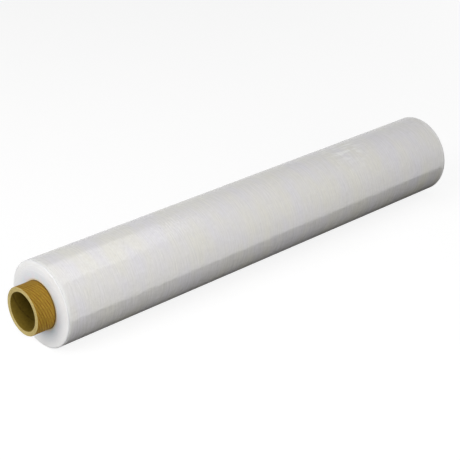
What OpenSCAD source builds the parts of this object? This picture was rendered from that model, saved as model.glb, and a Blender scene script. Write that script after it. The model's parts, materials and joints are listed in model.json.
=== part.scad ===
// Catering roll of cling film: one long film wound on a spiral card core.
// The roll lies along X with the core's bare end at -X, and rests on Z = 0.
// Both pieces are drawn standing on Z, and lay_down() turns them onto X.

/* [Film roll] */
// Width of the film, which is the length of the wound roll
film_w = 500; // [300:5:600]
// Diameter of the wound roll
film_d = 81; // [66:0.5:140]
// Radius of the rounded rim at each end of the roll
rim_r = 1.2; // [0.4:0.1:2]
// Height of the step where the last turn ends, along the back
tail_step = 0.25; // [0.1:0.05:0.5]
// Width of the flat spot that the soft roll rests on
flat_w = 10; // [8:0.5:14]

/* [Turns on the end faces] */
// Distance between neighbouring turns of the spiral line
turn_pitch = 1.5; // [1:0.1:2.5]
// Width of the spiral line at the face
turn_line_w = 0.8; // [0.3:0.05:0.9]
// Depth of the deepest turns of the spiral line
turn_line_depth = 0.2; // [0.1:0.05:0.5]
// Plain margin beside the core and beside the rim
turn_margin = 0.6; // [0.3:0.1:1.5]

/* [Core] */
// Diameter of the bore that takes the holder's spindle
core_bore_d = 36; // [30:0.5:50]
// Thickness of the card wall
core_wall = 4.5; // [2:0.1:5]
// Length of bare core in front of the film
core_stub = 18.5; // [8:0.5:40]
// Reach of the core past the film at the far end
core_tip = 2; // [1:0.5:20]
// Gap between the core and the first turn of film, all round
core_gap = 0.25; // [0.15:0.05:0.4]

/* [Plies of the core] */
// Number of card plies through the wall
ply_count = 6; // [3:1:7]
// Depth of the line between two plies at a cut end
ply_line_depth = 0.25; // [0.1:0.05:0.4]
// Width of the line between two plies at a cut end
ply_line_w = 0.3; // [0.15:0.05:0.4]
// Bevel that the saw leaves on the edges of a cut end
core_bevel = 0.25; // [0.1:0.05:0.5]
// Advance of the outer ply in one turn round the core
ply_lead = 45; // [35:1:90]
// Width of the seam between the outer ply's edges
seam_w = 0.6; // [0.3:0.1:1]
// Depth of that seam
seam_depth = 0.3; // [0.15:0.05:0.6]

/* [Belt marks on the bare end] */
// Number of slanted marks that the winding belt leaves round the core, beside the seam
mark_count = 16; // [8:1:20]
// Width of a mark at the surface
mark_w = 0.8; // [0.4:0.05:1]
// Depth of a mark in its middle
mark_depth = 0.15; // [0.1:0.01:0.2]

/* [Hidden] */
$fn = 180;

film_r = film_d / 2;
core_bore_r = core_bore_d / 2;
core_r = core_bore_r + core_wall;
core_l = core_stub + film_w + core_tip;

// The lower half of the last turn has its own centre, half a step to the front
low_r = film_r - tail_step / 2;
axis_h = sqrt(pow(low_r, 2) - pow(flat_w / 2, 2));

// The spiral line is drawn in half circles about two centres, half a pitch apart
turn_first_r = core_r + core_gap + turn_margin + turn_line_w / 2;
turn_last_r = film_r - rim_r - tail_step - turn_margin - turn_line_w / 2;
turn_count = floor((turn_last_r - turn_first_r) / turn_pitch) + 1;

// Angle between the rings of points that the seam and the marks are swept through
helix_step = 8;
// Start of the seam at the bare end, seen from the core's axis
seam_start = 205;
// Length by which a cutting shape passes the surface that it cuts
cut_over = 1;
// The same for the marks, which are too shallow for more
mark_over = 0.2;

// Turns a piece from standing on Z to lying along X, at rest on Z = 0
module lay_down() {
    translate([-core_l / 2, 0, axis_h])
        rotate([0, 90, 0])
            children();
}

// Half of the wound film about its own centre: the outline through a rounded disc of radius r
module half_roll(r, start) {
    rotate_extrude(angle = 180, start = start)
        union() {
            square([r - rim_r, film_w]);
            translate([0, rim_r])
                square([r, film_w - 2 * rim_r]);
            for (z = [rim_r, film_w - rim_r])
                translate([r - rim_r, z])
                    circle(rim_r);
        }
}

// Depth of turn k of the spiral line: some turns stand out more, as in any wound web
function turn_depth(k) = turn_line_depth * (0.7 + 0.3 * cos(137 * k));

// Half turns of the spiral line about their own centre, as V-shaped cuts into both end faces
module half_turns(first_r, count, start) {
    rotate_extrude(angle = 180, start = start)
        for (k = [0 : count - 1])
            for (face = [[0, -1], [film_w, 1]])
                translate([first_r + k * turn_pitch, face[0]])
                    polygon([
                        [0, -face[1] * turn_depth(k)],
                        [turn_line_w / 2, 0],
                        [turn_line_w / 2, face[1] * cut_over],
                        [-turn_line_w / 2, face[1] * cut_over],
                        [-turn_line_w / 2, 0]
                    ]);
}

// Point of ring i on the outer ply's helix, for a corner [radius, place along the axis]
function helix_point(corner, start, z_from, i) =
    let (a = start + i * helix_step)
    [corner[0] * cos(a), corner[0] * sin(a), z_from + i * helix_step / 360 * ply_lead + corner[1]];

// Profile of n corners swept along that helix from z_from, over a given length of core
module helix_sweep(profile, start, z_from, length) {
    n = len(profile);
    rings = ceil(length / ply_lead * 360 / helix_step);
    last = n * rings;
    polyhedron(
        points = [
            for (i = [0 : rings], corner = profile)
                helix_point(corner, start, z_from, i)
        ],
        faces = [
            for (k = [1 : n - 2])
                each [[0, k, k + 1], [last, last + k + 1, last + k]],
            for (i = [0 : rings - 1], k = [0 : n - 1])
                let (a = n * i + k, b = n * i + (k + 1) % n)
                each [[a, a + n, b + n], [a, b + n, b]]
        ]
    );
}

// Seam between the outer ply's edges, as a slot that is cut over a given length of core
module ply_seam(z_from, length) {
    in_r = core_r - seam_depth;
    out_r = core_r + cut_over;
    w = seam_w / 2;
    helix_sweep([[in_r, -w], [out_r, -w], [out_r, w], [in_r, w]], seam_start, z_from, length);
}

// Belt marks, as shallow grooves that share the turn with the seam
module belt_marks(z_from, length) {
    in_r = core_r - mark_depth;
    out_r = core_r + mark_over;
    w = mark_w / 2 * (mark_depth + mark_over) / mark_depth;
    for (m = [1 : mark_count])
        helix_sweep(
            [[in_r, 0], [out_r, -w], [out_r, w]],
            seam_start + m * 360 / (mark_count + 1),
            z_from,
            length
        );
}

// Outline through the core's wall, with bevelled edges and the plies' lines at both cut ends
module core_outline() {
    difference() {
        polygon([
            [core_bore_r, core_bevel],
            [core_bore_r + core_bevel, 0],
            [core_r - core_bevel, 0],
            [core_r, core_bevel],
            [core_r, core_l - core_bevel],
            [core_r - core_bevel, core_l],
            [core_bore_r + core_bevel, core_l],
            [core_bore_r, core_l - core_bevel]
        ]);
        for (i = [1 : ply_count - 1])
            translate([core_bore_r + i * core_wall / ply_count, 0])
                for (end = [[0, 1], [core_l, -1]])
                    polygon([
                        [-ply_line_w / 2, end[0] - end[1] * cut_over],
                        [ply_line_w / 2, end[0] - end[1] * cut_over],
                        [ply_line_w / 2, end[0]],
                        [0, end[0] + end[1] * ply_line_depth],
                        [-ply_line_w / 2, end[0]]
                    ]);
    }
}

// Card tube wound from plies, with the seam and the belt marks on its bare end
module core() {
    color([0.65, 0.47, 0.18])
        lay_down()
            difference() {
                rotate_extrude()
                    core_outline();
                ply_seam(-cut_over, core_stub + 2 * cut_over);
                belt_marks(-cut_over, core_stub + 2 * cut_over);
            }
}

// Upper half of the wound film with its half of the spiral lines, about the core's axis
module upper_half() {
    difference() {
        half_roll(film_r, 90);
        half_turns(turn_first_r, turn_count, 90);
    }
}

// Lower half, on centres set to the front: it meets the upper half flush at the front,
// leaves the end of the last turn as a step along the back, and joins turn k to turn k + 1
module lower_half() {
    difference() {
        translate([0, -tail_step / 2, 0])
            half_roll(low_r, -90);
        translate([0, -turn_pitch / 2, 0])
            half_turns(turn_first_r + turn_pitch / 2, turn_count - 1, -90);
    }
}

// All turns of film as one solid, on its flat spot, with room for the core
module film_roll() {
    color([0.85, 0.86, 0.87])
        lay_down()
            translate([0, 0, core_stub])
                difference() {
                    union() {
                        upper_half();
                        lower_half();
                    }
                    translate([0, 0, -cut_over])
                        cylinder(h = film_w + 2 * cut_over, r = core_r + core_gap);
                    translate([axis_h, -film_r, -cut_over])
                        cube([film_r, film_d, film_w + 2 * cut_over]);
                }
}

core();
film_roll();
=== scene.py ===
"""A catering roll of cling film on its spiral card core, dressed for a plain studio.

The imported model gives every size. The wound film and the core are rebuilt on it as smooth
closed meshes: numpy lays out each grid, Geometry Nodes cut the turns, plies and belt marks and
raise the film's relief, and every finish is procedural.
"""

import json
import logging
import math
from collections.abc import Mapping, Sequence
from dataclasses import dataclass
from enum import IntEnum

import bpy
import numpy as np
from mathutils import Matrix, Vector


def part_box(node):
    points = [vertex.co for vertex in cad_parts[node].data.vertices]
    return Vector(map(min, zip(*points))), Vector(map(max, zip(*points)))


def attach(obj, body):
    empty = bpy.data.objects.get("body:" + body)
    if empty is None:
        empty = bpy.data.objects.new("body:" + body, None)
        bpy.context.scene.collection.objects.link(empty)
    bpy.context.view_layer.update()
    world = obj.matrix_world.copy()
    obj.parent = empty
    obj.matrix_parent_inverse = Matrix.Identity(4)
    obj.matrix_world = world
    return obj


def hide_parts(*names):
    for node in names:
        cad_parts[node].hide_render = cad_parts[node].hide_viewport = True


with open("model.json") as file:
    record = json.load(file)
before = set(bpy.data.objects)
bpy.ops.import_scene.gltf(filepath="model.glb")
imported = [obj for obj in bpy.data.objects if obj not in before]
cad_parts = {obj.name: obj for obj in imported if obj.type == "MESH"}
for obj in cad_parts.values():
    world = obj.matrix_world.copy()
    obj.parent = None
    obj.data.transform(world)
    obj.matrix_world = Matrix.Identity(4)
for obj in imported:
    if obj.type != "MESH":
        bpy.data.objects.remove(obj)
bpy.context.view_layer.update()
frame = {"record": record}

LOG = logging.getLogger("cling_film_roll")
MM = 0.001
WIND_MAP = "wind"
SHARP_ANGLE = 50.0
# Values of a noise that become 0 and 1: nearly all of it, or its middle for clearer spots.
GENTLE = (0.3, 0.7)
FIRM = (0.35, 0.65)

Value = float | tuple[float, ...] | bpy.types.Node | bpy.types.NodeSocket


def linear(hex_code: str) -> tuple[float, float, float, float]:
    """Turns an sRGB hex colour into the linear values that shaders use.

    Args:
        hex_code: Colour such as "#C8A060".

    Returns:
        Linear red, green, blue and an alpha of 1.
    """
    parts = [int(hex_code[i:i + 2], 16) / 255 for i in (1, 3, 5)]
    steps = [c / 12.92 if c <= 0.04045 else ((c + 0.055) / 1.055) ** 2.4 for c in parts]
    return (*steps, 1.0)


def add_node(
    tree: bpy.types.NodeTree,
    kind: str,
    inputs: Mapping[str, Value] | Sequence[Value] = (),
    **settings: object,
) -> bpy.types.Node:
    """Adds a node to a shader or geometry tree, with its settings, values and links.

    Args:
        tree: The tree that gets the node.
        kind: The node's type, such as "ShaderNodeMath".
        inputs: Values or links by socket name, or in the order of the sockets in use. A node
            given as a value is linked from its first output in use.
        **settings: Properties of the node itself.

    Returns:
        The new node.
    """
    node = tree.nodes.new(kind)
    for key, setting in settings.items():
        setattr(node, key, setting)
    if isinstance(inputs, Mapping):
        pairs = [(node.inputs[name], value) for name, value in inputs.items()]
    else:
        pairs = list(zip([s for s in node.inputs if s.enabled], inputs))
    for socket, value in pairs:
        if isinstance(value, bpy.types.Node):
            value = next(s for s in value.outputs if s.enabled)
        if isinstance(value, bpy.types.NodeSocket):
            tree.links.new(value, socket)
        else:
            socket.default_value = value
    return node


def spots(tree: bpy.types.NodeTree, place: Value, size: Value, detail: float) -> bpy.types.Node:
    """Adds a noise whose spots have a real size.

    Args:
        tree: The tree that gets the nodes.
        place: Where the noise is read, in metres.
        size: Size of a spot along each axis, in metres.
        detail: Number of finer layers in the noise.

    Returns:
        The noise.
    """
    scaled = add_node(tree, "ShaderNodeVectorMath", (place, size), operation="DIVIDE")
    return add_node(tree, "ShaderNodeTexNoise", {
        "Vector": scaled, "Scale": 1.0, "Detail": detail})


def layers(
    tree: bpy.types.NodeTree, ground: str, *coats: tuple[Value, str | bpy.types.Node]
) -> bpy.types.Node:
    """Lays colours over each other.

    Args:
        tree: The tree that gets the nodes.
        ground: The lowest colour.
        *coats: Share and colour of each coat over it, the lowest first.

    Returns:
        The node with the colour that shows.
    """
    colour: Value = linear(ground)
    for share, coat in coats:
        top = linear(coat) if isinstance(coat, str) else coat
        colour = add_node(tree, "ShaderNodeMix", (share, colour, top), data_type="RGBA")
    return colour


def empty_tree(owner: bpy.types.Material | bpy.types.World) -> bpy.types.NodeTree:
    """Empties the node tree of a material or the world.

    Args:
        owner: The material or the world.

    Returns:
        Its tree.
    """
    owner.use_nodes = True
    owner.node_tree.nodes.clear()
    return owner.node_tree


def add_object(name: str, data: bpy.types.ID) -> bpy.types.Object:
    """Adds an object to the scene.

    Args:
        name: Name of the object.
        data: Its mesh, lamp or camera.

    Returns:
        The object.
    """
    item = bpy.data.objects.new(name, data)
    bpy.context.scene.collection.objects.link(item)
    return item


def point(item: bpy.types.Object, place: Vector, direction: Vector) -> None:
    """Puts a lamp or the camera in its place and turns it.

    Args:
        item: The lamp or the camera.
        place: Where it stands.
        direction: Which way it looks.
    """
    item.location = place
    item.rotation_mode = "QUATERNION"
    item.rotation_quaternion = direction.to_track_quat("-Z", "Y")


class Zone(IntEnum):
    """Stretches of a wound piece's outline, each with its own finish."""

    NEAR_END = 0
    OUTSIDE = 1
    FAR_END = 2
    BORE = 3


@dataclass(frozen=True)
class RollSizes:
    """Main sizes of the roll in metres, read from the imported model."""

    film_near: float
    film_far: float
    film_r: float
    core_near: float
    core_far: float
    core_r: float
    bore_r: float
    axis_z: float

    @classmethod
    def from_frame(cls) -> "RollSizes":
        """Reads the sizes from the nodes' boxes and the bore's mount.

        Returns:
            The sizes.
        """
        film_low, film_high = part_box("film_roll")
        core_low, core_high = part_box("core")
        bore = next(m for m in frame["record"]["mounts"] if m["name"] == "core_bore")
        return cls(
            film_near=film_low.x,
            film_far=film_high.x,
            film_r=(film_high.y - film_low.y) / 2,
            core_near=core_low.x,
            core_far=core_high.x,
            core_r=(core_high.y - core_low.y) / 2,
            bore_r=bore["dims"]["r_mm"] * MM,
            axis_z=bore["pos_m"][2],
        )


@dataclass
class Outline:
    """A closed outline through a wound piece's wall, in the order that it is walked."""

    x: np.ndarray
    radius: np.ndarray
    zone: np.ndarray

    @classmethod
    def join(cls, *stretches: tuple[Zone, float | np.ndarray, float | np.ndarray]) -> "Outline":
        """Joins stretches of outline.

        Args:
            *stretches: Zone, places along the roll and radii of each stretch. A single place or
                radius holds for the whole stretch.

        Returns:
            The whole outline. Each point's zone is that of the face that follows it.
        """
        broad = [np.broadcast_arrays(x, radius) for _, x, radius in stretches]
        return cls(
            x=np.concatenate([pair[0] for pair in broad]),
            radius=np.concatenate([pair[1] for pair in broad]),
            zone=np.concatenate([
                np.full(len(pair[0]), int(zone)) for (zone, _, _), pair in zip(stretches, broad)
            ]),
        )

    def sweep(self, name: str, angle: np.ndarray, places: np.ndarray) -> bpy.types.Mesh:
        """Makes the closed mesh that the outline leaves when it is swept round the axis.

        Args:
            name: Name of the mesh.
            angle: Angle of each column of points, in radians, rising.
            places: Points by outline and by column, in metres.

        Returns:
            The mesh, all quads that face outwards, with its zones and its winding map: how
            far round each corner lies, in turns, and how far along, in metres.
        """
        count, columns = places.shape[:2]
        i, j = np.meshgrid(np.arange(count), np.arange(columns), indexing="ij")
        next_i = (i + 1) % count
        next_j = (j + 1) % columns
        corners = ((i, j), (i, next_j), (next_i, next_j), (next_i, j))
        quads = np.stack([row * columns + column for row, column in corners], axis=-1)
        mesh = bpy.data.meshes.new(name)
        mesh.from_pydata(places.reshape(-1, 3).tolist(), [], quads.reshape(-1, 4).tolist())
        zone = mesh.attributes.new("zone", "INT", "FACE")
        zone.data.foreach_set("value", np.repeat(self.zone, columns).astype(np.int32))
        turn = (np.append(angle, angle[0] + 2 * math.pi) - angle[0]) / (2 * math.pi)
        wind = np.stack([
            np.stack([turn[j], turn[j + 1], turn[j + 1], turn[j]], axis=-1),
            np.stack([self.x[row] for row, _ in corners], axis=-1),
        ], axis=-1)
        mesh.uv_layers.new(name=WIND_MAP).data.foreach_set("uv", wind.astype(np.float32).ravel())
        return mesh


def store(mesh: bpy.types.Mesh, name: str, values: np.ndarray) -> None:
    """Keeps one number per point as a named attribute of the mesh."""
    attribute = mesh.attributes.new(name, "FLOAT", "POINT")
    attribute.data.foreach_set("value", values.astype(np.float32).ravel())


@dataclass(frozen=True, kw_only=True)
class Finish:
    """What all finishes share: a name and the plain values of their Principled shader."""

    name: str
    roughness: float
    ior: float
    gloss: float = 0.5
    metallic: float = 0.0
    scatter: float = 0.0
    scatter_depth: float = 0.0

    def patterns(self, tree: bpy.types.NodeTree, sizes: RollSizes) -> dict[str, Value]:
        """Adds the finish's own patterns.

        Args:
            tree: The material's tree.
            sizes: Sizes of the roll.

        Returns:
            What goes into the shader in place of a plain value, by input.
        """
        raise NotImplementedError

    def build(self, sizes: RollSizes) -> bpy.types.Material:
        """Builds the material.

        Args:
            sizes: Sizes of the roll.

        Returns:
            The material.
        """
        material = bpy.data.materials.new(self.name)
        tree = empty_tree(material)
        shader = add_node(tree, "ShaderNodeBsdfPrincipled", {
            "Roughness": self.roughness,
            "IOR": self.ior,
            "Specular IOR Level": self.gloss,
            "Metallic": self.metallic,
            "Subsurface Weight": self.scatter,
            "Subsurface Scale": self.scatter_depth,
            "Subsurface Radius": (1.0, 1.0, 1.0),
            **self.patterns(tree, sizes),
        })
        add_node(tree, "ShaderNodeOutputMaterial", {"Surface": shader})
        return material

    def from_axis(self, tree: bpy.types.NodeTree, sizes: RollSizes) -> bpy.types.Node:
        """Adds the distance of each point from the roll's axis.

        Args:
            tree: The material's tree.
            sizes: Sizes of the roll.

        Returns:
            The node with the distance, in metres.
        """
        place = add_node(tree, "ShaderNodeTexCoord").outputs["Object"]
        across = add_node(tree, "ShaderNodeMapping", {
            "Vector": place, "Location": (0, 0, -sizes.axis_z), "Scale": (0, 1, 1)})
        return add_node(tree, "ShaderNodeVectorMath", (across,), operation="LENGTH")


@dataclass(frozen=True, kw_only=True)
class FilmSide(Finish):
    """Outer turns of blown, stretch-wound polyethylene film.

    The film is clear, but hundreds of turns with air between them scatter and mirror light
    like a pile of plates. The eye gets a milky silver grey, half gloss, with fine, short
    streaks round the roll where the film is a little thicker, dimples that break the edges of
    what it mirrors, whiter puckers, and a duller strip by each cut end. That strip is also
    coloured whiter: painted light, for the light that comes in through the end face. The real
    streaks are finer than a pixel, so they are drawn coarser.
    """

    name: str = "stretch_film_side"
    roughness: float = 0.13
    ior: float = 1.51
    metallic: float = 0.1
    scatter: float = 0.4
    scatter_depth: float = 6 * MM
    warm: str = "#E7E5DD"
    cool: str = "#E4E2E7"
    patch: tuple[float, float, float] = (22 * MM, 45 * MM, 45 * MM)
    thick: str = "#E3E2DF"
    thick_share: float = 0.5
    streak: tuple[float, float, float] = (1.2 * MM, 14 * MM, 14 * MM)
    streak_silver: float = 0.07
    airy: str = "#F8F8F6"
    # Whiter colour of the strip by each cut end: painted light coming in through the end face.
    painted_end_glow: str = "#ECECEA"
    cut_roughness: float = 0.4
    lit_strip: float = 7 * MM
    dimple: tuple[float, float, float] = (2 * MM, 3 * MM, 3 * MM)
    dimple_height: float = 0.13 * MM

    def patterns(self, tree: bpy.types.NodeTree, sizes: RollSizes) -> dict[str, Value]:
        """Adds the tones, streaks, puckers, lit strips and dimples.

        Args:
            tree: The material's tree.
            sizes: Sizes of the roll.

        Returns:
            The shader's inputs that they drive.
        """
        place = add_node(tree, "ShaderNodeTexCoord").outputs["Object"]
        tone = add_node(tree, "ShaderNodeMapRange", (
            spots(tree, place, self.patch, 2.0), *FIRM))
        streaks = spots(tree, place, self.streak, 2.0)
        streak = add_node(tree, "ShaderNodeMapRange", (streaks, *GENTLE, 0.0, self.thick_share))
        pucker = add_node(tree, "ShaderNodeAttribute", attribute_name="pucker")
        middle = (sizes.film_near + sizes.film_far) / 2
        along = add_node(tree, "ShaderNodeMapping", {
            "Vector": place, "Location": (-middle, 0, 0), "Scale": (1, 0, 0)})
        off_middle = add_node(tree, "ShaderNodeVectorMath", (along,), operation="LENGTH")
        half = sizes.film_far - middle
        lit = add_node(tree, "ShaderNodeMapRange", (off_middle, half - self.lit_strip, half),
                       interpolation_type="SMOOTHSTEP")
        # Painted light: the strip by each cut end takes a whiter colour for light that comes in
        # through the end face.
        colour = layers(
            tree, self.warm, (tone, self.cool), (streak, self.thick),
            (pucker.outputs["Fac"], self.airy), (lit, self.painted_end_glow))
        dull = add_node(tree, "ShaderNodeMapRange", (
            lit, 0.0, 1.0, self.roughness, self.cut_roughness))
        tight = add_node(tree, "ShaderNodeMapRange", (
            streaks, *GENTLE,
            self.metallic - self.streak_silver, self.metallic + self.streak_silver))
        silver = add_node(tree, "ShaderNodeMapRange", (lit, 0.0, 1.0, tight, 0.0))
        bump = add_node(tree, "ShaderNodeBump", {
            "Height": spots(tree, place, self.dimple, 1.0), "Distance": self.dimple_height})
        return {"Base Color": colour, "Roughness": dull, "Metallic": silver, "Normal": bump}


@dataclass(frozen=True, kw_only=True)
class FilmEnd(Finish):
    """End faces of the wound film, made of the cut edges of all its turns.

    The slitting knife leaves hundreds of edges side by side. They scatter light like white
    wax, a little greyer round the rim, with a faint play of colour near the core, where the
    innermost turns look creamy because the board shows through them. The colour also darkens
    from the rim in towards the core: painted shade round the core, where the stub shadows the
    face.
    """

    name: str = "stretch_film_end"
    roughness: float = 0.4
    ior: float = 1.51
    scatter: float = 0.6
    scatter_depth: float = 5 * MM
    outer: str = "#F3F3F3"
    # Darker colour towards the core: painted shade from the core's stub.
    inner: str = "#DFE3EA"
    rim: str = "#D6D6D7"
    rim_width: float = 1.6 * MM
    cream: str = "#F0DCA6"
    cream_width: float = 2.2 * MM
    play: tuple[str, str] = ("#E8E0EA", "#D6E8EE")
    play_share: float = 0.6
    play_width: float = 9 * MM
    play_patch: tuple[float, float, float] = (6 * MM, 6 * MM, 6 * MM)

    def patterns(self, tree: bpy.types.NodeTree, sizes: RollSizes) -> dict[str, Value]:
        """Adds the colours from the core out to the rim.

        Args:
            tree: The material's tree.
            sizes: Sizes of the roll.

        Returns:
            The shader's inputs that they drive.
        """
        radius = self.from_axis(tree, sizes)
        # Painted shade: the face goes from the darker inner colour near the core to the outer
        # one at the rim.
        outwards = add_node(tree, "ShaderNodeMapRange", (radius, sizes.core_r, sizes.film_r),
                            interpolation_type="SMOOTHSTEP")
        place = add_node(tree, "ShaderNodeTexCoord").outputs["Object"]
        hue = add_node(tree, "ShaderNodeMapRange", (
            spots(tree, place, self.play_patch, 0.0), *FIRM))
        play = layers(tree, self.play[0], (hue, self.play[1]))
        near_core = add_node(tree, "ShaderNodeMapRange", (
            radius, sizes.core_r, sizes.core_r + self.play_width, self.play_share, 0.0))
        at_rim = add_node(tree, "ShaderNodeMapRange", (
            radius, sizes.film_r - self.rim_width, sizes.film_r),
            interpolation_type="SMOOTHSTEP")
        at_core = add_node(tree, "ShaderNodeMapRange", (
            radius, sizes.core_r, sizes.core_r + self.cream_width, 1.0, 0.0))
        return {"Base Color": layers(
            tree, self.inner, (outwards, self.outer), (near_core, play), (at_rim, self.rim),
            (at_core, self.cream))}


@dataclass(frozen=True, kw_only=True)
class KraftPaper(Finish):
    """Brown kraft paper, the inner or outer ply of a spiral-wound core.

    The paper is wound on at a slant and pressed by a belt. The eye gets a dull golden brown
    with fine, darker and redder lines along the marks, faint where the paper is rubbed, short
    paper fibres, and a dark line against the film: painted shade of the gap where they meet.
    """

    roughness: float = 0.72
    ior: float = 1.45
    gloss: float = 0.15
    paper: str = "#7C5E1C"
    pale: str = "#A8862F"
    blotch: tuple[float, float, float] = (3 * MM, 3 * MM, 3 * MM)
    lead: float
    line: str = "#6C330E"
    lines: int = 1
    line_slant: float = 0.0
    line_share: float = 0.35
    line_faintest: float = 0.1
    rubbed: tuple[float, float] = (0.62, 0.42)
    fibre: tuple[float, float] = (0.4 * MM, 2.4 * MM)
    fibre_share: float = 0.6
    fibre_height: float = 0.06 * MM
    # Dark line on the core right against the film: painted shade of the gap between them.
    joint_shade: str = "#4A3614"
    joint_shade_share: float = 0.8
    joint_shade_width: float = 1.6 * MM

    def patterns(self, tree: bpy.types.NodeTree, sizes: RollSizes) -> dict[str, Value]:
        """Adds the blotches, the slanted lines, the fibres and the painted shade by the film.

        Args:
            tree: The material's tree.
            sizes: Sizes of the roll.

        Returns:
            The shader's inputs that they drive.
        """
        wind = add_node(tree, "ShaderNodeUVMap", uv_map=WIND_MAP)
        turn, along, _ = add_node(tree, "ShaderNodeSeparateXYZ", (wind,)).outputs
        slanted = add_node(tree, "ShaderNodeMath", (along, self.line_slant, turn),
                           operation="MULTIPLY_ADD")
        number = add_node(tree, "ShaderNodeMath", (slanted, self.lines), operation="MULTIPLY")
        off_line = add_node(tree, "ShaderNodeMath", (number, 0.5), operation="PINGPONG")
        line = add_node(tree, "ShaderNodeMapRange", (off_line, 0.0, self.line_share, 1.0, 0.0),
                        interpolation_type="SMOOTHSTEP")
        place = add_node(tree, "ShaderNodeTexCoord").outputs["Object"]
        blotches = spots(tree, place, self.blotch, 3.0)
        wear = add_node(tree, "ShaderNodeMapRange", (blotches, *GENTLE))
        kept = add_node(tree, "ShaderNodeMapRange", (
            blotches, *self.rubbed, self.line_faintest, 1.0))
        drawn = add_node(tree, "ShaderNodeMath", (line, kept), operation="MULTIPLY")
        girth = 2 * math.pi * sizes.core_r
        lead_share = math.sin(math.atan(self.lead / girth))
        grain = add_node(tree, "ShaderNodeMapping", {
            "Vector": wind,
            "Scale": (girth * lead_share / self.fibre[0], 1 / self.fibre[1], 1)})
        fibres = add_node(tree, "ShaderNodeTexNoise", {
            "Vector": grain, "Scale": 1.0, "Detail": 3.0})
        light = add_node(tree, "ShaderNodeMapRange", (fibres, *FIRM, 0.0, self.fibre_share))
        # Painted shade: the core darkens in a thin line where it meets the film's near end.
        past_film = add_node(tree, "ShaderNodeMath", (along, sizes.film_near),
                             operation="SUBTRACT")
        off_film = add_node(tree, "ShaderNodeMath", (past_film,), operation="ABSOLUTE")
        joint_shaded = add_node(tree, "ShaderNodeMapRange", (
            off_film, 0.0, self.joint_shade_width, self.joint_shade_share, 0.0),
            interpolation_type="SMOOTHSTEP")
        colour = layers(
            tree, self.pale, (wear, self.paper), (drawn, self.line), (light, self.pale),
            (joint_shaded, self.joint_shade))
        bump = add_node(tree, "ShaderNodeBump", {
            "Height": fibres, "Distance": self.fibre_height})
        return {"Base Color": colour, "Normal": bump}


@dataclass(frozen=True, kw_only=True)
class CutBoard(Finish):
    """Sawn end of the core: grey board between the kraft plies.

    The saw tears the fibres, so the eye gets a pale, dull straw colour with a soft nap and
    only faint lines where the plies meet.
    """

    name: str = "core_cut_board"
    roughness: float = 0.85
    ior: float = 1.45
    gloss: float = 0.15
    board: str = "#C2AE6E"
    nap: str = "#E0D096"
    glue: str = "#9A8242"
    glue_share: float = 0.6
    glue_line: float
    ply: float
    fibre: tuple[float, float, float] = (0.45 * MM, 0.45 * MM, 0.45 * MM)
    fibre_height: float = 0.12 * MM

    def patterns(self, tree: bpy.types.NodeTree, sizes: RollSizes) -> dict[str, Value]:
        """Adds the glue lines between the plies and the torn nap.

        Args:
            tree: The material's tree.
            sizes: Sizes of the roll.

        Returns:
            The shader's inputs that they drive.
        """
        radius = self.from_axis(tree, sizes)
        depth = add_node(tree, "ShaderNodeMath", (radius, sizes.bore_r), operation="SUBTRACT")
        off_glue = add_node(tree, "ShaderNodeMath", (depth, self.ply / 2), operation="PINGPONG")
        glued = add_node(tree, "ShaderNodeMapRange", (
            off_glue, 0.0, self.glue_line, self.glue_share, 0.0))
        place = add_node(tree, "ShaderNodeTexCoord").outputs["Object"]
        fibres = spots(tree, place, self.fibre, 4.0)
        soft = add_node(tree, "ShaderNodeMapRange", (fibres, *FIRM))
        bump = add_node(tree, "ShaderNodeBump", {
            "Height": fibres, "Distance": self.fibre_height})
        colour = layers(tree, self.board, (soft, self.nap), (glued, self.glue))
        return {"Base Color": colour, "Normal": bump}


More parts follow.
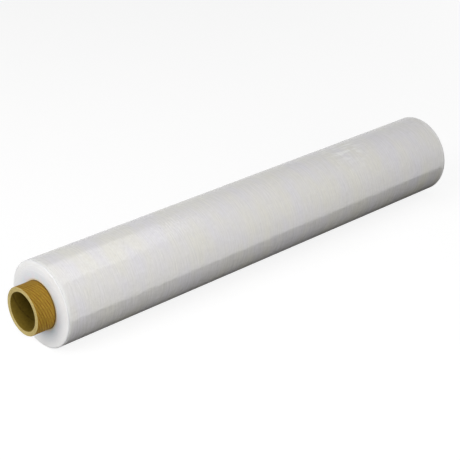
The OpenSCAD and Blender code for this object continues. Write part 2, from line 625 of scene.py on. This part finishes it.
class ShapeTree:
    """A Geometry Nodes tree with named inputs, which a piece runs once and then drops."""

    def __init__(self, name: str) -> None:
        """Starts a tree that takes a mesh and gives one back.

        Args:
            name: Name of the tree.
        """
        self.tree = bpy.data.node_groups.new(name, "GeometryNodeTree")
        for way in ("INPUT", "OUTPUT"):
            self.tree.interface.new_socket("Mesh", in_out=way, socket_type="NodeSocketGeometry")
        self.entry = add_node(self.tree, "NodeGroupInput")
        self.values: dict[str, float | tuple[float, ...]] = {}

    def size(self, name: str, value: float | tuple[float, ...]) -> bpy.types.NodeSocket:
        """Adds a named input.

        Args:
            name: Name of the input.
            value: Number or vector that the piece's modifier sets.

        Returns:
            The socket to link from.
        """
        kind = "NodeSocketVector" if isinstance(value, tuple) else "NodeSocketFloat"
        socket = self.tree.interface.new_socket(name, in_out="INPUT", socket_type=kind)
        self.values[socket.identifier] = value
        return self.entry.outputs[name]

    def per_point(self, name: str) -> bpy.types.Node:
        """Reads a number that the mesh keeps for each point."""
        return add_node(self.tree, "GeometryNodeInputNamedAttribute", {"Name": name},
                        data_type="FLOAT")

    def v_cuts(
        self, name: str, number: Value, pitch: float, width: float, depth: float
    ) -> bpy.types.Node:
        """Cuts a row of V-shaped grooves.

        Args:
            name: What the grooves are, for the names of the inputs.
            number: Count of grooves at each point, whole in the middle of a groove.
            pitch: Distance from one groove to the next.
            width: Width of a groove.
            depth: Depth of a groove.

        Returns:
            The node with the depth of the cut at each point.
        """
        off_groove = add_node(self.tree, "ShaderNodeMath", (number, 0.5), operation="PINGPONG")
        away = add_node(self.tree, "ShaderNodeMath", (
            off_groove, self.size(f"{name} pitch", pitch)), operation="MULTIPLY")
        return add_node(self.tree, "ShaderNodeMapRange", {
            "Value": away, "From Max": self.size(f"{name} half width", width / 2),
            "To Min": self.size(f"{name} depth", depth), "To Max": 0.0})

    def to_axis(self, depth: Value, axis_z: float) -> bpy.types.Node:
        """Points a depth at the roll's axis.

        Args:
            depth: How far each point moves.
            axis_z: Height of the axis.

        Returns:
            The node with the vector by which each point moves.
        """
        place = add_node(self.tree, "GeometryNodeInputPosition")
        way = add_node(self.tree, "ShaderNodeVectorMath", (
            self.size("Axis", (0.0, 0.0, axis_z)), place), operation="SUBTRACT")
        across = add_node(self.tree, "ShaderNodeVectorMath", (way, (0.0, 1.0, 1.0)),
                          operation="MULTIPLY")
        unit = add_node(self.tree, "ShaderNodeVectorMath", (across,), operation="NORMALIZE")
        return add_node(self.tree, "ShaderNodeVectorMath", {"Vector": unit, "Scale": depth},
                        operation="SCALE")

    def finish(
        self,
        offset: Value,
        plain: bpy.types.Material,
        zones: Mapping[Zone, bpy.types.Material],
        kept: Mapping[str, Value] | None = None,
    ) -> None:
        """Moves the points, realizes instances, sets the materials and closes the tree.

        Args:
            offset: Vector by which each point moves.
            plain: Material of every zone that has none of its own.
            zones: Materials of single zones.
            kept: Numbers per point that the materials need, by attribute name.
        """
        shape = self.entry.outputs["Mesh"]
        for name, value in (kept or {}).items():
            shape = add_node(self.tree, "GeometryNodeStoreNamedAttribute", {
                "Geometry": shape, "Name": name, "Value": value},
                data_type="FLOAT", domain="POINT")
        moved = add_node(self.tree, "GeometryNodeSetPosition", {
            "Geometry": shape, "Offset": offset})
        shape = add_node(self.tree, "GeometryNodeRealizeInstances", {"Geometry": moved})
        shape = add_node(self.tree, "GeometryNodeSetMaterial", {
            "Geometry": shape, "Material": plain})
        zone = add_node(self.tree, "GeometryNodeInputNamedAttribute", {"Name": "zone"},
                        data_type="INT")
        for number, material in zones.items():
            here = add_node(self.tree, "FunctionNodeCompare", (zone, int(number)),
                            data_type="INT", operation="EQUAL")
            shape = add_node(self.tree, "GeometryNodeSetMaterial", {
                "Geometry": shape, "Material": material, "Selection": here})
        add_node(self.tree, "NodeGroupOutput", {"Mesh": shape})

    def bake(self, mesh: bpy.types.Mesh, name: str) -> bpy.types.Object:
        """Runs the tree on a mesh and keeps the result as a plain object.

        Args:
            mesh: The mesh before its relief.
            name: Name of the piece.

        Returns:
            The piece, with no modifier left, linked to the scene.
        """
        carrier = add_object(name + "_base", mesh)
        modifier = carrier.modifiers.new("shape", "NODES")
        modifier.node_group = self.tree
        for identifier, value in self.values.items():
            modifier[identifier] = value
        graph = bpy.context.evaluated_depsgraph_get()
        made = bpy.data.meshes.new_from_object(carrier.evaluated_get(graph))
        bpy.data.objects.remove(carrier)
        made.name = name
        made.shade_smooth()
        made.set_sharp_from_angle(angle=math.radians(SHARP_ANGLE))
        return add_object(name, made)


@dataclass
class WoundFilm:
    """The film's turns as one closed solid on its flat spot, with its end faces and tail.

    The outer turn runs on two centres: the lower half's lies half a step to the front, which
    leaves the end of the last turn as a step along the back. The real turns are far too thin
    to show, so one spiral line with a coarse pitch stands for them on each end face.
    """

    sizes: RollSizes
    core_gap: float = 0.25 * MM
    rim_r: float = 1.2 * MM
    tail_step: float = 0.25 * MM
    tail_slope: float = 0.2
    turn_pitch: float = 1.5 * MM
    turn_line_w: float = 0.8 * MM
    turn_line_depth: float = 0.2 * MM
    turn_margin: float = 0.6 * MM
    faint_turn: float = 0.4
    turn_phase: float = 137.0
    band_size: tuple[float, float, float] = (5 * MM, 90 * MM, 90 * MM)
    band_height: float = 0.05 * MM
    pucker_size: tuple[float, float, float] = (9 * MM, 3 * MM, 3 * MM)
    pucker_edge: tuple[float, float] = (0.5, 0.66)
    pucker_height: float = 0.14 * MM
    pucker_along: float = 376 * MM
    pucker_angle: float = 88.0
    pucker_spread: float = 42 * MM
    relief_fade: float = 4 * MM
    rows_per_turn: int = 6
    rim_rows: int = 7
    side_rows: int = 216
    half_columns: int = 118

    def outline(self) -> Outline:
        """Walks round the film's wall: out on the near face, along the side, in on the far one.

        Returns:
            The outline.
        """
        s = self.sizes
        inner = s.core_r + self.core_gap
        outer = s.film_r - self.rim_r
        step = self.turn_pitch / self.rows_per_turn
        first = self.first_turn() % step
        face = np.arange(first + math.ceil((inner - first) / step) * step, outer, step)
        face = np.concatenate([[inner], face[face > inner + step / 2], [outer]])
        arc = np.radians(np.linspace(0, 90, self.rim_rows + 1))
        rim_x = self.rim_r * (1 - np.cos(arc))
        rim = outer + self.rim_r * np.sin(arc)
        side = np.linspace(s.film_near + self.rim_r, s.film_far - self.rim_r, self.side_rows)
        return Outline.join(
            (Zone.NEAR_END, s.film_near, face[:-1]),
            (Zone.NEAR_END, s.film_near + rim_x[:-1], rim[:-1]),
            (Zone.OUTSIDE, side[:-1], s.film_r),
            (Zone.FAR_END, s.film_far - rim_x[::-1], rim[::-1]),
            (Zone.FAR_END, s.film_far, face[-2::-1]),
        )

    def first_turn(self) -> float:
        """Radius of the innermost turn of the spiral line."""
        return self.sizes.core_r + self.core_gap + self.turn_margin + self.turn_line_w / 2

    def columns(self) -> tuple[np.ndarray, np.ndarray]:
        """Angles of the columns round the axis: 0 points down, 90 to the back, 180 up.

        Returns:
            Angles in radians, and 1 for each column of the lower half or 0 for the upper.
        """
        upper = np.linspace(90, 270, self.half_columns + 1)
        lower = np.linspace(270, 450, self.half_columns + 1)[1:]
        lower[-1] -= self.tail_slope
        below = np.concatenate([np.zeros(len(upper)), np.ones(len(lower))])
        return np.radians(np.concatenate([upper, lower])), below

    def turn_numbers(self, y: np.ndarray, z: np.ndarray) -> np.ndarray:
        """Number of the turn at each point of an end face, whole where a line runs.

        Args:
            y: Places across the roll.
            z: Heights above the axis.

        Returns:
            The numbers, with a half where there is no line.
        """
        below = z < 0
        shift = np.where(below, self.turn_pitch / 2, 0)
        radius = np.hypot(y + shift, z) - shift
        turn = (radius - self.first_turn()) / self.turn_pitch
        last_r = (self.sizes.film_r - self.rim_r - self.tail_step - self.turn_margin
                  - self.turn_line_w / 2)
        last = np.floor((last_r - self.first_turn()) / self.turn_pitch) - below
        return np.where((turn > -0.5) & (turn < last + 0.5), turn, 0.5)

    def base_mesh(self) -> bpy.types.Mesh:
        """Sweeps the outline round the two centres and notes where each relief lies.

        Returns:
            The mesh before its relief.
        """
        s = self.sizes
        outline = self.outline()
        angle, below = self.columns()
        inner = s.core_r + self.core_gap
        share = (outline.radius - inner) / (s.film_r - inner)
        shift = np.outer(share * self.tail_step / 2, below)
        swept = outline.radius[:, None] - shift
        y = swept * np.sin(angle) - shift
        z = np.maximum(-swept * np.cos(angle), -s.axis_z)
        x = np.broadcast_to(outline.x[:, None], y.shape)
        mesh = outline.sweep("wound_film", angle, np.stack([x, y, z + s.axis_z], axis=-1))
        inward = np.zeros(len(outline.x))
        inward[outline.x <= s.film_near] = 1
        inward[outline.x >= s.film_far] = -1
        store(mesh, "turn", self.turn_numbers(y, z))
        store(mesh, "inward", np.broadcast_to(inward[:, None], y.shape))
        off_rim = np.minimum(x - s.film_near, s.film_far - x) - self.rim_r
        off_floor = z + s.axis_z
        smooth = np.clip(np.minimum(off_rim, off_floor) / self.relief_fade, 0, 1)
        store(mesh, "relief", smooth * (outline.radius[:, None] >= s.film_r))
        return mesh

    def shape_tree(self) -> ShapeTree:
        """Cuts the turns into the end faces, and gives the side its bands and puckers.

        A phase that steps on from turn to turn makes some of their lines deeper than others.
        Bands are stretches of slightly thicker film, which add up to rings round the roll.
        Puckers are the small folds of a patch where the last turns trapped air.

        Returns:
            The tree, ready to run on the base mesh.
        """
        s = self.sizes
        shape = ShapeTree("film_turns")
        tree = shape.tree
        turn = shape.per_point("turn")
        cut = shape.v_cuts(
            "Turn line", turn, self.turn_pitch, self.turn_line_w, self.turn_line_depth)
        number = add_node(tree, "ShaderNodeMath", (turn,), operation="ROUND")
        phase = add_node(tree, "ShaderNodeMath", (number, math.radians(self.turn_phase)),
                         operation="MULTIPLY")
        wave = add_node(tree, "ShaderNodeMath", (phase,), operation="COSINE")
        share = add_node(tree, "ShaderNodeMapRange", (wave, -1.0, 1.0, self.faint_turn, 1.0))
        deep = add_node(tree, "ShaderNodeMath", (cut, share), operation="MULTIPLY")
        inward = add_node(tree, "ShaderNodeMath", (deep, shape.per_point("inward")),
                          operation="MULTIPLY")
        turns = add_node(tree, "ShaderNodeCombineXYZ", (inward,))

        place = add_node(tree, "GeometryNodeInputPosition")
        relief = shape.per_point("relief")
        bands = spots(tree, place, shape.size("Band size", self.band_size), 1.0)
        band = add_node(tree, "ShaderNodeMapRange", (
            bands, *GENTLE, 0.0, shape.size("Band height", self.band_height)))
        folds = spots(tree, place, shape.size("Pucker size", self.pucker_size), 1.0)
        fold = add_node(tree, "ShaderNodeMapRange", (folds, *self.pucker_edge),
                        interpolation_type="SMOOTHSTEP")
        off_patch = add_node(tree, "ShaderNodeVectorMath", (
            place, shape.size("Pucker middle", self.pucker_middle())), operation="DISTANCE")
        patch = add_node(tree, "ShaderNodeMapRange", {
            "Value": off_patch, "From Max": shape.size("Pucker spread", self.pucker_spread),
            "To Min": 1.0, "To Max": 0.0}, interpolation_type="SMOOTHSTEP")
        folded = add_node(tree, "ShaderNodeMath", (fold, patch), operation="MULTIPLY")
        pucker = add_node(tree, "ShaderNodeMath", (folded, relief), operation="MULTIPLY")
        dent = add_node(tree, "ShaderNodeMath", (
            pucker, shape.size("Pucker height", self.pucker_height), band),
            operation="MULTIPLY_ADD")
        depth = add_node(tree, "ShaderNodeMath", (dent, relief), operation="MULTIPLY")
        offset = add_node(tree, "ShaderNodeVectorMath", (
            turns, shape.to_axis(depth, s.axis_z)), operation="ADD")
        ends = FilmEnd().build(s)
        shape.finish(offset, FilmSide().build(s), {Zone.NEAR_END: ends, Zone.FAR_END: ends},
                     kept={"pucker": pucker})
        return shape

    def pucker_middle(self) -> tuple[float, float, float]:
        """Finds the middle of the puckered patch on the roll's side.

        Returns:
            Its place, in metres.
        """
        s = self.sizes
        angle = math.radians(self.pucker_angle)
        return (
            s.film_near + self.pucker_along,
            -s.film_r * math.cos(angle),
            s.axis_z + s.film_r * math.sin(angle),
        )

    def build(self) -> bpy.types.Object:
        """Builds the piece and sets it in place of its node.

        Returns:
            The piece.
        """
        piece = self.shape_tree().bake(self.base_mesh(), "wound_film")
        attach(piece, "root")
        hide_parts("film_roll")
        return piece


@dataclass
class CoreTube:
    """The spiral-wound card tube, with the ply's seam and the belt marks on its bare end.

    Its columns of points follow the outer ply's helix over the bare end, so each mark runs
    along a column and keeps a clean edge. The marks reach a little way under the film.
    """

    sizes: RollSizes
    bevel: float = 0.25 * MM
    ply_count: int = 6
    ply_line_depth: float = 0.25 * MM
    ply_line_w: float = 0.3 * MM
    ply_lead: float = 45 * MM
    seam_w: float = 0.6 * MM
    seam_depth: float = 0.3 * MM
    seam_start: float = 205.0
    seam_before: float = 1 * MM
    mark_count: int = 16
    mark_w: float = 0.8 * MM
    mark_depth: float = 0.15 * MM
    mark_reach: float = 2 * MM
    columns_per_mark: int = 20
    row_step: float = 0.75 * MM
    tip_reach: float = 1 * MM
    hidden_margin: float = 5 * MM
    hidden_rows: int = 12
    bore_rows: int = 60

    def ply(self) -> float:
        """Thickness of one ply."""
        return (self.sizes.core_r - self.sizes.bore_r) / self.ply_count

    def lines(self) -> int:
        """Number of evenly spaced lines in a turn: the belt marks and the seam."""
        return self.mark_count + 1

    def bare_end(self) -> float:
        """Place along the roll where the seam and the marks end, under the film."""
        return self.sizes.film_near + self.mark_reach

    def outline(self) -> Outline:
        """Walks round the tube's wall: over the near end, along the outside and back inside.

        Returns:
            The outline.
        """
        s = self.sizes
        lines = s.bore_r + self.ply() * np.arange(1, self.ply_count)
        edges = [[r - self.ply_line_w / 2, r, r + self.ply_line_w / 2] for r in lines]
        ring = np.concatenate([[s.bore_r + self.bevel], *edges, [s.core_r - self.bevel]])
        stub = np.arange(s.core_near + self.bevel, self.bare_end(), self.row_step)
        tip = np.arange(s.film_far - self.tip_reach, s.core_far - self.bevel, self.row_step)
        hidden = np.linspace(
            stub[-1] + self.hidden_margin, tip[0] - self.hidden_margin, self.hidden_rows)
        outside = np.concatenate([stub, hidden, tip, [s.core_far - self.bevel]])
        bore = np.linspace(s.core_far - self.bevel, s.core_near + self.bevel, self.bore_rows)
        return Outline.join(
            (Zone.NEAR_END, s.core_near, ring[:-1]),
            (Zone.OUTSIDE, s.core_near, ring[-1:]),
            (Zone.OUTSIDE, outside, s.core_r),
            (Zone.FAR_END, s.core_far, ring[::-1]),
            (Zone.BORE, bore, s.bore_r),
        )

    def lead_angle(self, outline: Outline) -> np.ndarray:
        """Finds how far each point of the outline turns with the outer ply's helix.

        Args:
            outline: Outline through the tube's wall.

        Returns:
            The angles, in radians.
        """
        s = self.sizes
        bare = self.bare_end() - s.core_near
        along = np.clip(outline.x - s.core_near, 0, bare)
        far_share = (outline.x - s.core_near) / (s.core_far - s.core_near)
        along = np.where(outline.zone == Zone.BORE, bare * far_share, along)
        return (along + self.seam_before) / self.ply_lead * 2 * math.pi

    def base_mesh(self) -> bpy.types.Mesh:
        """Sweeps the outline round the axis, along the helix on the bare end.

        Returns:
            The mesh before its relief.
        """
        s = self.sizes
        outline = self.outline()
        turn = np.arange(self.lines() * self.columns_per_mark)
        turn = turn / (self.lines() * self.columns_per_mark)
        column = math.radians(self.seam_start) + turn * 2 * math.pi
        angle = column + self.lead_angle(outline)[:, None]
        y = outline.radius[:, None] * np.sin(angle)
        z = s.axis_z - outline.radius[:, None] * np.cos(angle)
        x = np.broadcast_to(outline.x[:, None], y.shape)
        mesh = outline.sweep("core_tube", column, np.stack([x, y, z], axis=-1))
        ply = (outline.radius - s.bore_r) / self.ply()
        between = (ply > 0.5) & (ply < self.ply_count - 0.5)
        inward = np.zeros(len(outline.x))
        inward[between & (outline.x <= s.core_near)] = 1
        inward[between & (outline.x >= s.core_far)] = -1
        bare = (outline.radius >= s.core_r) & (outline.x <= self.bare_end())
        store(mesh, "ply", np.broadcast_to(ply[:, None], y.shape))
        store(mesh, "inward", np.broadcast_to(inward[:, None], y.shape))
        store(mesh, "turn", np.broadcast_to(turn, y.shape))
        store(mesh, "bare", np.broadcast_to(bare[:, None], y.shape))
        return mesh

    def shape_tree(self) -> ShapeTree:
        """Cuts the lines between the plies, the belt marks and the seam.

        Returns:
            The tree, ready to run on the base mesh.
        """
        s = self.sizes
        shape = ShapeTree("core_plies")
        tree = shape.tree
        ply_cut = shape.v_cuts(
            "Ply line", shape.per_point("ply"), self.ply(), self.ply_line_w, self.ply_line_depth)
        inward = add_node(tree, "ShaderNodeMath", (ply_cut, shape.per_point("inward")),
                          operation="MULTIPLY")
        ends = add_node(tree, "ShaderNodeCombineXYZ", (inward,))

        turn = shape.per_point("turn")
        mark = add_node(tree, "ShaderNodeMath", (
            turn, shape.size("Lines in a turn", float(self.lines()))), operation="MULTIPLY")
        mark_cut = shape.v_cuts(
            "Mark", mark, self.ply_lead / self.lines(), self.mark_w, self.mark_depth)
        off_seam = add_node(tree, "ShaderNodeMath", (turn, 0.5), operation="PINGPONG")
        seam_away = add_node(tree, "ShaderNodeMath", (
            off_seam, shape.size("Ply lead", self.ply_lead)), operation="MULTIPLY")
        in_seam = add_node(tree, "ShaderNodeMath", (
            seam_away, shape.size("Half seam width", self.seam_w / 2)), operation="LESS_THAN")
        seam_cut = add_node(tree, "ShaderNodeMath", (
            in_seam, shape.size("Seam depth", self.seam_depth)), operation="MULTIPLY")
        cut = add_node(tree, "ShaderNodeMath", (mark_cut, seam_cut), operation="MAXIMUM")
        depth = add_node(tree, "ShaderNodeMath", (cut, shape.per_point("bare")),
                         operation="MULTIPLY")
        offset = add_node(tree, "ShaderNodeVectorMath", (
            ends, shape.to_axis(depth, s.axis_z)), operation="ADD")
        cut_board = CutBoard(ply=self.ply(), glue_line=self.ply_line_w).build(s)
        outside = KraftPaper(
            name="core_kraft_outside", lead=self.ply_lead, lines=self.lines(),
        ).build(s)
        # The bore's paper colours are the outside ply's made darker: painted shade inside the
        # tube.
        bore = KraftPaper(
            name="core_kraft_bore", lead=self.ply_lead, line_slant=1 / self.ply_lead,
            line_share=0.03, paper="#655417", pale="#786320", line="#46340F", joint_shade_share=0.0,
        ).build(s)
        shape.finish(offset, outside, {
            Zone.NEAR_END: cut_board, Zone.FAR_END: cut_board, Zone.BORE: bore})
        return shape

    def build(self) -> bpy.types.Object:
        """Builds the piece and sets it in place of its node.

        Returns:
            The piece.
        """
        piece = self.shape_tree().bake(self.base_mesh(), "core_tube")
        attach(piece, "root")
        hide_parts("core")
        return piece


@dataclass(frozen=True)
class Softbox:
    """One soft studio lamp: a lit rectangle, in metres, that faces a point on the roll."""

    name: str
    place: tuple[float, float, float]
    size: tuple[float, float]
    radiance: float
    aim: tuple[float, float, float] = (0.0, 0.0, 0.04)

    def build(self) -> None:
        """Builds the lamp, with the power that gives its face the wanted radiance."""
        light = bpy.data.lights.new(self.name, "AREA")
        light.shape = "RECTANGLE"
        light.size, light.size_y = self.size
        light.energy = self.radiance * math.pi * self.size[0] * self.size[1]
        place = Vector(self.place)
        point(add_object(self.name, light), place, Vector(self.aim) - place)


@dataclass
class Studio:
    """Plain pale floor with a dark card, soft lamps, a white surround and the camera.

    Floor and surround are white to the camera and nearly so in what the film mirrors. The
    card is hidden from the camera: it is painted shade on the floor by the roll, which the
    film mirrors and which darkens the light bounced onto the roll. The camera stands as for
    the photograph, from the near end's middle.
    """

    sizes: RollSizes
    lamps: tuple[Softbox, ...] = (
        Softbox("lamp_overhead", place=(-0.2, 0.0, 0.95), size=(1.5, 1.1), radiance=0.61,
                aim=(-0.2, 0.0, 0.0)),
        Softbox("lamp_front", place=(-0.45, -1.1, 0.7), size=(0.9, 0.9), radiance=2.35),
        Softbox("lamp_end", place=(-1.2, 0.1, 0.5), size=(1.1, 1.1), radiance=2.55),
        Softbox("lamp_low", place=(-0.5, -1.3, 0.2), size=(0.9, 0.36), radiance=4.5),
        Softbox("lamp_far_end", place=(1.3, 0.0, 0.17), size=(0.8, 0.3), radiance=4.5),
        Softbox("lamp_back", place=(-0.3, 1.4, 0.15), size=(0.9, 0.26), radiance=3.0),
    )
    floor_size: float = 8.0
    floor_colour: str = "#8A8A8A"
    floor_glow: float = 0.83
    floor_shine: float = 0.76
    card_shade_colour: str = "#3A3627"
    card_front: float = -89 * MM
    card_back: float = 30 * MM
    surround_fill: float = 0.1
    surround_shine: float = 0.92
    camera_place: tuple[float, float, float] = (-573.926 * MM, -858.609 * MM, 565.485 * MM)
    camera_forward: tuple[float, float, float] = (0.61251, 0.65942, -0.43589)
    camera_reach: tuple[float, float] = (0.05, 50.0)
    lens: float = 105.5355
    sensor: float = 36.0

    def strength(
        self, tree: bpy.types.NodeTree, fill: float, seen: float, mirrored: float
    ) -> bpy.types.Node:
        """Gives a strength for each kind of ray.

        Args:
            tree: The tree that gets the nodes.
            fill: Strength as light that fills.
            seen: Strength where the camera sees it, straight or through glass.
            mirrored: Strength where a glossy surface mirrors it.

        Returns:
            The node with the strength.
        """
        path = add_node(tree, "ShaderNodeLightPath").outputs
        glossy = add_node(tree, "ShaderNodeMapRange", (
            path["Is Glossy Ray"], 0.0, 1.0, fill, mirrored))
        straight = add_node(tree, "ShaderNodeMath", (
            path["Is Camera Ray"], path["Is Transmission Ray"]), operation="MAXIMUM")
        return add_node(tree, "ShaderNodeMix", (straight, glossy, seen), data_type="FLOAT")

    def under_card(self, tree: bpy.types.NodeTree) -> bpy.types.Node:
        """Is 1 where a dark card lies under the roll, for every ray but the camera's.

        The card is painted shade on the floor by the roll: the glossy film mirrors its front
        edge as the sharp dark band along its foot, and it darkens the light bounced up onto the
        roll.

        Args:
            tree: The floor's tree.

        Returns:
            The node with that value.
        """
        place = add_node(tree, "ShaderNodeTexCoord").outputs["Object"]
        x, y, _ = add_node(tree, "ShaderNodeSeparateXYZ", (place,)).outputs
        behind, before, beyond = (
            add_node(tree, "ShaderNodeMath", (axis, limit), operation=side)
            for axis, limit, side in (
                (y, self.card_front, "GREATER_THAN"),
                (y, self.card_back, "LESS_THAN"),
                (x, self.sizes.film_near, "GREATER_THAN"),
            )
        )
        strip = add_node(tree, "ShaderNodeMath", (behind, before), operation="MULTIPLY")
        card = add_node(tree, "ShaderNodeMath", (strip, beyond), operation="MULTIPLY")
        camera = add_node(tree, "ShaderNodeLightPath").outputs["Is Camera Ray"]
        return add_node(tree, "ShaderNodeMath", (card, camera), operation="SUBTRACT",
                        use_clamp=True)

    def build_floor(self) -> None:
        """Lays the floor: white to the eye, with the roll's own soft shadow on it."""
        half = self.floor_size / 2
        mesh = bpy.data.meshes.new("floor")
        corners = [(-half, -half, 0), (half, -half, 0), (half, half, 0), (-half, half, 0)]
        mesh.from_pydata(corners, [], [(0, 1, 2, 3)])
        material = bpy.data.materials.new("studio_floor")
        tree = empty_tree(material)
        paint = add_node(tree, "ShaderNodeBsdfDiffuse", {"Color": linear(self.floor_colour)})
        glow = add_node(tree, "ShaderNodeEmission", {
            "Strength": self.strength(tree, 0.0, self.floor_glow, self.floor_shine)})
        both = add_node(tree, "ShaderNodeAddShader", (paint, glow))
        # Painted shade: the dark card, unseen by the camera, stands in for the shaded floor by
        # the roll.
        card = add_node(tree, "ShaderNodeBsdfDiffuse", {"Color": linear(self.card_shade_colour)})
        seen = add_node(tree, "ShaderNodeMixShader", (self.under_card(tree), both, card))
        add_node(tree, "ShaderNodeOutputMaterial", {"Surface": seen})
        mesh.materials.append(material)
        floor = add_object("floor", mesh)

    def build_surround(self) -> None:
        """Sets the world: white where it is seen, dimmer where it only fills."""
        world = bpy.data.worlds.new("surround")
        tree = empty_tree(world)
        sky = add_node(tree, "ShaderNodeBackground", {
            "Color": linear("#FFFFFF"),
            "Strength": self.strength(tree, self.surround_fill, 1.0, self.surround_shine)})
        add_node(tree, "ShaderNodeOutputWorld", {"Surface": sky})
        bpy.context.scene.world = world

    def build_camera(self) -> None:
        """Places the camera at the photograph's viewing angle."""
        data = bpy.data.cameras.new("camera")
        data.lens = self.lens
        data.sensor_width = self.sensor
        data.clip_start, data.clip_end = self.camera_reach
        near_end = Vector((self.sizes.film_near, 0, self.sizes.axis_z))
        camera = add_object("camera", data)
        point(camera, near_end + Vector(self.camera_place), Vector(self.camera_forward))
        bpy.context.scene.camera = camera

    def build(self) -> None:
        """Builds the camera, the floor, the surround and the lamps."""
        self.build_camera()
        self.build_floor()
        self.build_surround()
        for lamp in self.lamps:
            lamp.build()
        bpy.context.scene.view_settings.view_transform = "Standard"


def main() -> None:
    """Builds the roll and its studio, in order, and reports each piece."""
    logging.basicConfig(level=logging.INFO, format="%(name)s: %(message)s")
    sizes = RollSizes.from_frame()
    for sub_assembly in (WoundFilm(sizes), CoreTube(sizes)):
        piece = sub_assembly.build()
        LOG.info("%s: %d faces", piece.name, len(piece.data.polygons))
    Studio(sizes).build()


if __name__ == "__main__":
    main()
